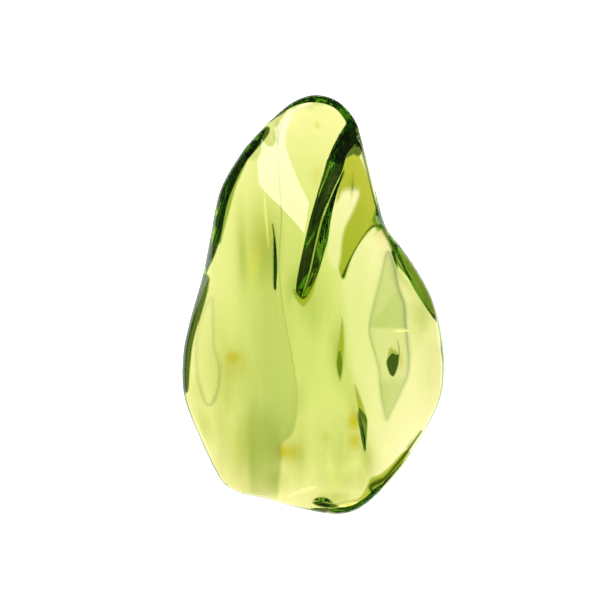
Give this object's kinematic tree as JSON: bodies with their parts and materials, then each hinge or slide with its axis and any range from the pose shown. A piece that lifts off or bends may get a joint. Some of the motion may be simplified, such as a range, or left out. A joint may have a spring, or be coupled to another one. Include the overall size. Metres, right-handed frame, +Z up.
{
  "type": "green amber palm stone",
  "caption": "Polished free-form palm stone of clear yellow-green amber: a rounded spade outline with a waist, a full cheek and a deep fold in its underside.",
  "frame": {"origin": "middle of the bounding box's bottom face, on the plane of the resting facet", "axes": "+Z up out of the resting facet, +Y along the stone towards its narrow end, +X towards the full cheek"},
  "size_m": [0.0406, 0.065, 0.0125],
  "materials": {
    "amber": "clear green amber, hand polished to a high gloss, see-through, index of refraction about 1.54, dark green where the light's way through it is long"
  },
  "bodies": {
    "root": {"amber_stone": "amber"}
  },
  "joints": []
}
